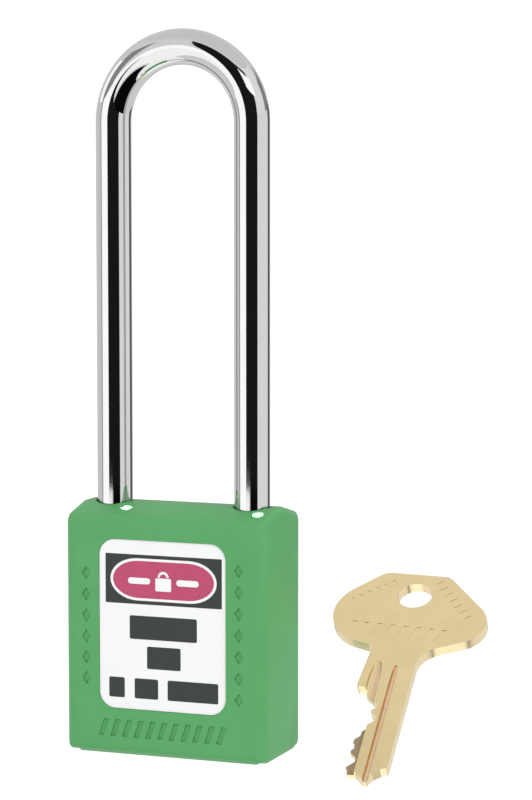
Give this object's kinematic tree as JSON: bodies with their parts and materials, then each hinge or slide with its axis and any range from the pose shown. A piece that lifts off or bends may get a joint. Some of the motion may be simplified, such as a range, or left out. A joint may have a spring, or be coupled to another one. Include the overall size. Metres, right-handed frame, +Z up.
{
  "type": "safety padlock",
  "caption": "Long-shackle lockout padlock with a green plastic body, a label window on each face, a polished steel shackle and a flat brass key.",
  "frame": {"origin": "centre of the lock's base, on the plug's face beside the keyway and on the lock's centre line to within 0.5 mm", "axes": "+Z up from the base towards the shackle's bend, -Y out of the front label, +X towards the shackle's short toe leg and the loose key"},
  "size_m": [0.0707, 0.0439, 0.1284],
  "materials": {
    "green_plastic": "satin moulded thermoplastic",
    "label_film": "printed polyester film",
    "chromed_steel": "polished chrome plate",
    "die_cast_zinc": "as cast",
    "brass": "turned",
    "key_brass": "pale satin nickel brass",
    "nickel_silver": "turned",
    "spring_steel": "drawn wire",
    "hard_steel": "ground"
  },
  "bodies": {
    "root": {"body_shell": "green_plastic", "bottom_cover": "green_plastic", "inner_chassis": "die_cast_zinc", "label_front": "label_film", "label_back": "label_film", "cylinder_shell": "brass", "chamber_cover": "brass", "cylinder_retaining_screw": "hard_steel", "driver_pin_1": "brass", "driver_pin_2": "brass", "driver_pin_3": "brass", "driver_pin_4": "brass", "driver_pin_5": "brass", "driver_pin_6": "brass", "pin_spring_1": "spring_steel", "pin_spring_2": "spring_steel", "pin_spring_3": "spring_steel", "pin_spring_4": "spring_steel", "pin_spring_5": "spring_steel", "pin_spring_6": "spring_steel", "shackle_spring": "spring_steel"},
    "plug": {"cylinder_plug": "nickel_silver", "plug_clip": "spring_steel", "locking_cam": "hard_steel", "key_pin_1": "brass", "key_pin_2": "brass", "key_pin_3": "brass", "key_pin_4": "brass", "key_pin_5": "brass", "key_pin_6": "brass"},
    "shackle": {"shackle": "chromed_steel"},
    "ball_toe": {"locking_ball_toe": "hard_steel"},
    "ball_heel": {"locking_ball_heel": "hard_steel"},
    "key": {"key": "key_brass"}
  },
  "joints": [
    {"name": "plug_turn", "type": "hinge", "parent": "root", "child": "plug", "pos_m": [0, 0, 0], "axis": [0, 0, 1], "range_deg": [-90, 0]},
    {"name": "ball_toe_slide", "type": "slide", "parent": "root", "child": "ball_toe", "axis": [1, 0, 0], "range_m": [0, 0.0015]},
    {"name": "ball_heel_slide", "type": "slide", "parent": "root", "child": "ball_heel", "axis": [-1, 0, 0], "range_m": [0, 0.0015]},
    {"name": "shackle_lift", "type": "slide", "parent": "root", "child": "shackle", "axis": [0, 0, 1], "range_m": [0, 0.013], "deforming": ["shackle_spring"]},
    {"name": "key_lift", "type": "slide", "parent": "root", "child": "key", "axis": [0, 0, 1], "range_m": [0, 0.06]}
  ],
  "couplings": [
    {"joint": "ball_toe_slide", "follows": "plug_turn", "m_per_rad": -0.000954},
    {"joint": "ball_heel_slide", "follows": "plug_turn", "m_per_rad": -0.000954}
  ]
}
